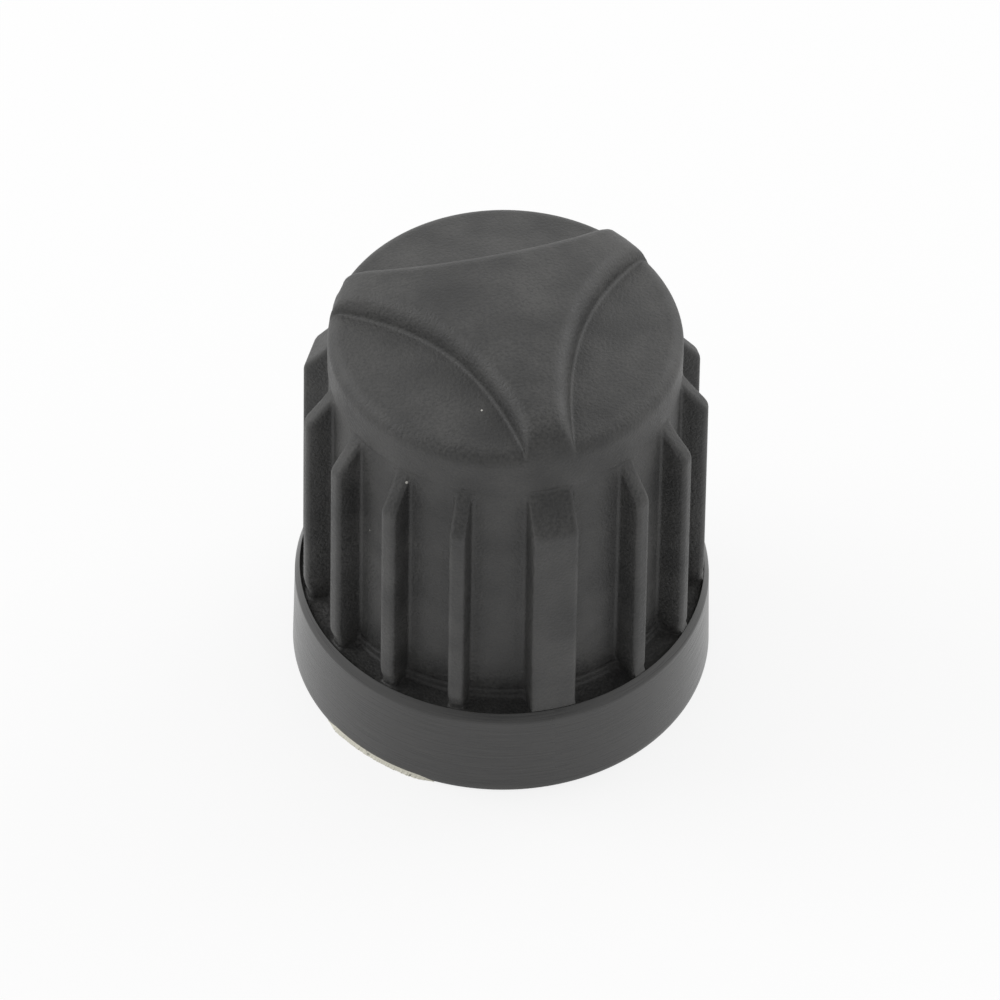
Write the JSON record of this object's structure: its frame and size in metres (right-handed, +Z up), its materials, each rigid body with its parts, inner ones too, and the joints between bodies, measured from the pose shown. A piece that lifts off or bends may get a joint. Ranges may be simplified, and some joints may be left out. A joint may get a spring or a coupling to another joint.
{
  "type": "valve cap",
  "caption": "Screw-on dust cap for a tyre valve: ribbed round body on a plain flared base ring, domed crown with a three-lobed raised top, threaded blind bore.",
  "frame": {"origin": "centre of the open base ring's foot, which the cap stands on", "axes": "+Z up along the cap's axis, from the open mouth to the crown; one of the wide ribs faces -Y"},
  "size_m": [0.011, 0.011, 0.0126],
  "materials": {
    "moulded_plastic": "dark grey moulded plastic, finely spark-eroded on crown and ribs, smooth and slightly glossy on the base ring"
  },
  "bodies": {
    "root": {"valve_cap": "moulded_plastic"}
  },
  "joints": []
}
